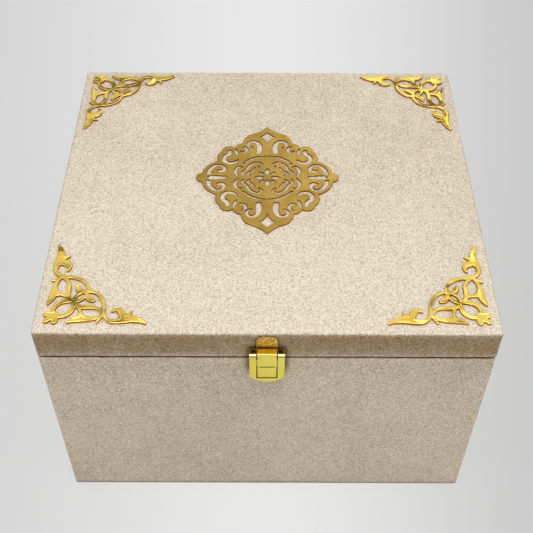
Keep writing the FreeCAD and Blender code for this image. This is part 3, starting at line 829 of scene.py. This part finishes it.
def cushion(name, body, node, up):
    """A thin upholstered board: crowned face, rounded edge, flat back."""
    least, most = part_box(node)
    low, high = least.z / MM, most.z / MM
    hx, hy = most.x / MM, most.y / MM
    shell = Shell(hx, hy, 6.0)
    thick = high - low
    shell.ring(1.2, low, 1.5)
    shell.ring(0.2, low + 0.3, 2.0)
    shell.ring(0.0, low + 1.2, 2.2)
    roll = min(thick - 1.4, 3.4)
    for sine, cosine in quarter_turn(5)[1:]:
        shell.ring(roll * 1.3 * (1 - cosine), low + 1.2 + roll * sine, 2.2)
    inset = roll * 1.3
    base = low + 1.2 + roll
    shell.cap(inset, base)
    out = []
    for x, y, z in shell.vertices:
        if z > base - 1e-6:
            ex = max(0.0, 1 - (abs(x) / (hx - inset)) ** 6)
            ey = max(0.0, 1 - (abs(y) / (hy - inset)) ** 6)
            lift = (high - base) * min(1.0, 1.15 * (ex * ey) ** 0.5)
            z = base + lift * (0.86 + 0.14 * noise.noise(Vector((x / 38, y / 38, 5.0 if up else 9.0))))
        out.append((x, y, z if up else low + high - z))
    made = piece(name, out, shell.faces, lining_cloth)
    outward(made)
    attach(made, body)
    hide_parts(node)


base_lining = wall_band("base_lining_band", "base", "base_wall_lining", *BASE_LINED)
lid_lining = wall_band("lid_lining_band", "lid", "lid_wall_lining", *LID_LINED)
cushion("floor_cushion", "base", "base_floor_pad", True)
cushion("lid_cushion", "lid", "lid_inner_pad", False)

felt_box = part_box("base_underside_sheet")
shell = Shell(felt_box[1].x / MM, felt_box[1].y / MM, 12.0)
shell.ring(0.5, 1.15, 1.0)
shell.ring(0.0, 0.9, 1.2)
shell.ring(0.0, 0.35, 1.2)
shell.ring(0.35, 0.0, 1.0)
shell.cap(0.35, 0.0)
felt_sheet = piece("underside_felt_sheet", shell.vertices, shell.faces, felt)
outward(felt_sheet)
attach(felt_sheet, "base")
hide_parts("base_underside_sheet")


# Small fasteners

def lathe(name, profile, material, segments=24):
    """A turned piece about +Z from (radius, height) pairs in millimetres."""
    vertices, faces = [], []
    for r, z in profile:
        for k in range(segments):
            a = 2 * math.pi * k / segments
            vertices.append((r * math.cos(a), r * math.sin(a), z))
    for row in range(0, (len(profile) - 1) * segments, segments):
        for k in range(segments):
            n = (k + 1) % segments
            faces.append((row + k, row + n, row + segments + n, row + segments + k))
    return piece(name, vertices, faces, material)


def screw(name, body, x, y, z, turn):
    """A cross-slotted pan head screw facing +Y."""
    radius = 2.1
    profile = [(radius, -0.3), (radius, 0.25), (radius * 0.93, 0.55), (radius * 0.75, 0.8),
               (radius * 0.45, 0.95), (0.02, 1.0)]
    head = lathe(name, profile, latch_gold)
    cross = bmesh.new()
    for long, wide, deep in ((2.2, 0.5, 1.2), (0.5, 2.2, 1.2)):
        bmesh.ops.create_cube(cross, size=1.0, matrix=Matrix.Translation((0, 0, 1.0 * MM))
                              @ Matrix.Diagonal((long * MM, wide * MM, deep * MM, 1)))
    cutter_mesh = bpy.data.meshes.new(name + "_cross")
    cross.to_mesh(cutter_mesh)
    cross.free()
    cutter = bpy.data.objects.new(name + "_cross", cutter_mesh)
    bpy.context.scene.collection.objects.link(cutter)
    cut = head.modifiers.new("cross", "BOOLEAN")
    cut.operation = "DIFFERENCE"
    cut.object = cutter
    cut.solver = "EXACT"
    graph = bpy.context.evaluated_depsgraph_get()
    done = bpy.data.meshes.new_from_object(head.evaluated_get(graph))
    head.modifiers.clear()
    head.data = done
    bpy.data.objects.remove(cutter)
    head.data.transform(Matrix.Translation((x * MM, y * MM, z * MM)) @ Matrix.Rotation(-math.pi / 2, 4, "X")
                        @ Matrix.Rotation(turn, 4, "Z"))
    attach(head, body)


# Middle of each hinge, and the places of its four screws on the leaves
HINGE_X = 85.0
SCREW_X = 12.0
LEAF_Y = HALF_Y + 1.0
LOWER_SCREW_Z = 164.2
UPPER_SCREW_Z = 183.0

for side, centre in (("left", -HINGE_X), ("right", HINGE_X)):
    for k, dx in enumerate((-SCREW_X, SCREW_X)):
        screw(f"hinge_{side}_lower_screw_{k}", "base", centre + dx, LEAF_Y, LOWER_SCREW_Z, 0.3 + k)
        screw(f"hinge_{side}_upper_screw_{k}", "lid", centre + dx, LEAF_Y, UPPER_SCREW_Z, 0.8 - k)


# CAD nodes that stay

for name, node in frame["nodes"].items():
    if name.endswith("_panel"):
        finish = fibreboard
    elif name in ("latch_spring", "hinge_left_pin", "hinge_right_pin", "latch_pin"):
        finish = steel
    elif name == "latch_strike":
        finish = strike_gold
    elif name.startswith(("latch", "hinge")):
        finish = latch_gold
    elif name.startswith("corner"):
        finish = corner_gold
    elif name == "lid_medallion":
        finish = medallion_gold
    elif "velvet" in name:
        finish = velvet
    elif name == "base_underside_sheet":
        finish = felt
    else:
        finish = lining_cloth
    node.data.materials.clear()
    node.data.materials.append(finish)

for name in ("latch_case", "latch_tongue", "latch_strike", "latch_back_plate"):
    node = frame["nodes"][name]
    bevel = node.modifiers.new("worn_edges", "BEVEL")
    bevel.width = 0.18 * MM
    bevel.segments = 2
    bevel.limit_method = "ANGLE"
    bevel.angle_limit = math.radians(35)
    bevel.harden_normals = True


# Floor, light and camera

def floor():
    """A pale floor whose greys fan out from a point in front, as in the photograph."""
    fan_start = -1.172
    mesh = bpy.data.meshes.new("floor")
    size = 6.0
    corners = [(-size, -size, 0), (size, -size, 0), (size, size, 0), (-size, size, 0)]
    mesh.from_pydata(corners, [], [(0, 1, 2, 3)])
    made = bpy.data.objects.new("floor", mesh)
    bpy.context.scene.collection.objects.link(made)
    look = Nodes("studio_floor")
    place = look.position()
    parts = look.node("ShaderNodeSeparateXYZ")
    look.link(place, parts.inputs[0])
    fan = look.math("DIVIDE", parts.outputs["X"], look.math("SUBTRACT", parts.outputs["Y"], fan_start))
    fan = look.math("MULTIPLY", fan, look.ramp(parts.outputs["Y"], -1.0, -0.6))
    shade = look.node("ShaderNodeValToRGB")
    look.link(look.ramp(fan, -0.21, 0.21), shade.inputs["Fac"])
    ramp = shade.color_ramp
    ramp.interpolation = "B_SPLINE"
    for k, (position, grey) in enumerate(((0.0, 213), (0.25, 227), (0.5, 241), (0.75, 224), (1.0, 196))):
        element = ramp.elements[k] if k < 2 else ramp.elements.new(position)
        element.position = position
        element.color = rgb(grey, grey, grey)
    seen = look.node("ShaderNodeEmission")
    look.link(shade.outputs["Color"], seen.inputs["Color"])
    matt = look.node("ShaderNodeBsdfDiffuse")
    matt.inputs["Color"].default_value = rgb(222, 222, 222)
    path = look.node("ShaderNodeLightPath")
    shown = look.math("MULTIPLY", path.outputs["Is Camera Ray"], 0.86)
    both = look.node("ShaderNodeMixShader")
    look.link(shown, both.inputs["Fac"])
    look.link(matt.outputs[0], both.inputs[1])
    look.link(seen.outputs[0], both.inputs[2])
    look.link(both.outputs[0], look.output.inputs["Surface"])
    made.data.materials.append(look.material)


def world():
    """A soft studio: bright above, dimmer round the sides and behind."""
    studio = bpy.data.worlds.new("studio")
    bpy.context.scene.world = studio
    studio.use_nodes = True
    tree = studio.node_tree
    tree.nodes.clear()
    place = tree.nodes.new("ShaderNodeTexCoord")
    parts = tree.nodes.new("ShaderNodeSeparateXYZ")
    tree.links.new(place.outputs["Generated"], parts.inputs[0])
    shade = tree.nodes.new("ShaderNodeValToRGB")
    tree.links.new(parts.outputs["Z"], shade.inputs["Fac"])
    ramp = shade.color_ramp
    for k, (position, grey) in enumerate(((0.0, 0.42), (0.35, 0.34), (0.55, 0.4), (0.66, 0.8), (1.0, 0.8))):
        element = ramp.elements[k] if k < 2 else ramp.elements.new(position)
        element.position = position
        element.color = (grey, grey, grey, 1)
    behind = tree.nodes.new("ShaderNodeMapRange")
    behind.inputs["From Min"].default_value, behind.inputs["From Max"].default_value = 0.1, 0.5
    tree.links.new(parts.outputs["Y"], behind.inputs["Value"])
    low = tree.nodes.new("ShaderNodeMapRange")
    low.inputs["From Min"].default_value, low.inputs["From Max"].default_value = 0.6, 0.45
    tree.links.new(parts.outputs["Z"], low.inputs["Value"])
    dim = tree.nodes.new("ShaderNodeMath")
    dim.operation = "MULTIPLY"
    tree.links.new(behind.outputs["Result"], dim.inputs[0])
    tree.links.new(low.outputs["Result"], dim.inputs[1])
    strength = tree.nodes.new("ShaderNodeMapRange")
    strength.inputs["To Min"].default_value, strength.inputs["To Max"].default_value = 1.0, 0.4
    tree.links.new(dim.outputs[0], strength.inputs["Value"])
    back = tree.nodes.new("ShaderNodeBackground")
    tree.links.new(shade.outputs["Color"], back.inputs["Color"])
    tree.links.new(strength.outputs["Result"], back.inputs["Strength"])
    out = tree.nodes.new("ShaderNodeOutputWorld")
    tree.links.new(back.outputs[0], out.inputs["Surface"])


def lamp(name, place, target, size, power):
    """A rectangular lamp turned to a target, in metres and watts."""
    data = bpy.data.lights.new(name, "AREA")
    data.shape = "RECTANGLE"
    data.size, data.size_y = size
    data.energy = power
    made = bpy.data.objects.new(name, data)
    made.location = place
    made.rotation_mode = "QUATERNION"
    made.rotation_quaternion = (Vector(target) - Vector(place)).to_track_quat("-Z", "Y")
    bpy.context.scene.collection.objects.link(made)


floor()
world()
lamp("overhead", (-0.08, -0.36, 1.2), (-0.02, -0.1, 0.2), (0.8, 0.4), 4.0)
lamp("front_strip", (0.0, -1.14, 0.86), (0, -0.14, 0.18), (0.8, 0.12), 0.6)
lamp("side", (1.3, -0.5, 0.7), (0, 0, 0.1), (0.8, 0.8), 1.5)
lamp("back", (0.5, 1.4, 1.3), (0, 0, 0.15), (1.0, 0.6), 2.0)

# The camera, fitted to the photograph: its side, focal length and shift in pixels, and where it stands
PHOTO_SIDE = 533
FOCAL = 914.3
SHIFT = (0.5, -65.3)
SENSOR = 36.0
CAMERA_PLACE = (-0.0016, -0.4734, 0.6736)

camera = bpy.data.cameras.new("camera")
camera.sensor_width = SENSOR
camera.lens = FOCAL / PHOTO_SIDE * SENSOR
camera.shift_x = SHIFT[0] / PHOTO_SIDE
camera.shift_y = SHIFT[1] / PHOTO_SIDE
camera.clip_start, camera.clip_end = 0.01, 50
viewer = bpy.data.objects.new("camera", camera)
bpy.context.scene.collection.objects.link(viewer)
forward = Vector((0.001, 0.6942, -0.7197)).normalized()
right = Vector((1.0, 0.0018, 0.0032))
right = (right - right.dot(forward) * forward).normalized()
up = right.cross(forward)
turned = Matrix((right, up, -forward)).transposed().to_4x4()
viewer.matrix_world = Matrix.Translation(CAMERA_PLACE) @ turned
bpy.context.scene.camera = viewer
bpy.context.scene.view_settings.view_transform = "Standard"
